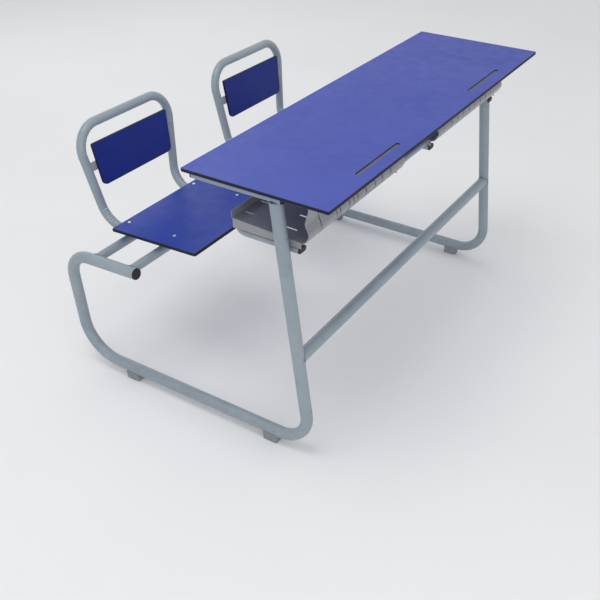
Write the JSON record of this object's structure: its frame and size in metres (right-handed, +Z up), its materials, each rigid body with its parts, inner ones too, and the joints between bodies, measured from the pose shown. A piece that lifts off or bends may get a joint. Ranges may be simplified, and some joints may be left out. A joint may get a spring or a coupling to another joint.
{
  "type": "double school desk with attached seats",
  "caption": "Free-standing double school desk: laminate desktop with pen grooves and perforated book trays, joined by a tubular steel frame to attached seats with backrests.",
  "frame": {"origin": "middle of the footprint, on the floor", "axes": "+X along the desktop's length, -Y towards the desktop's free edge, +Y towards the backrests, +Z up"},
  "size_m": [1.2, 0.8742, 0.745],
  "materials": {
    "desk_laminate": "matt laminate",
    "seat_laminate": "matt laminate",
    "back_laminate": "matt laminate",
    "frame_paint": "satin powder coat",
    "tray_paint": "satin powder coat",
    "black_plastic": "matt",
    "grey_plastic": "matt",
    "zinc": "zinc plated"
  },
  "bodies": {
    "root": {"arm_plug_far": "black_plastic", "arm_plug_near": "black_plastic", "backrest_frame_far": "frame_paint", "backrest_frame_near": "frame_paint", "backrest_lugs_far": "frame_paint", "backrest_lugs_near": "frame_paint", "backrest_panel_far": "back_laminate", "backrest_panel_near": "back_laminate", "backrest_screws_far": "zinc", "backrest_screws_near": "zinc", "desktop": "desk_laminate", "desktop_screws": "zinc", "foot_front_far": "grey_plastic", "foot_front_near": "grey_plastic", "foot_rear_far": "grey_plastic", "foot_rear_near": "grey_plastic", "seat_panel_far": "seat_laminate", "seat_panel_near": "seat_laminate", "seat_rail_front": "frame_paint", "seat_rail_rear": "frame_paint", "seat_rivets_far": "zinc", "seat_rivets_near": "zinc", "side_frame_far": "frame_paint", "side_frame_near": "frame_paint", "side_rail_far": "frame_paint", "side_rail_near": "frame_paint", "side_rail_plugs_far": "black_plastic", "side_rail_plugs_near": "black_plastic", "stretcher": "frame_paint", "tray_cross_plug": "black_plastic", "tray_cross_tube": "frame_paint", "tray_far": "tray_paint", "tray_frame": "frame_paint", "tray_frame_plug_far": "black_plastic", "tray_frame_plug_near": "black_plastic", "tray_near": "tray_paint", "tray_rail_front": "frame_paint", "tray_rail_rear": "frame_paint", "tray_screws": "zinc"}
  },
  "joints": []
}
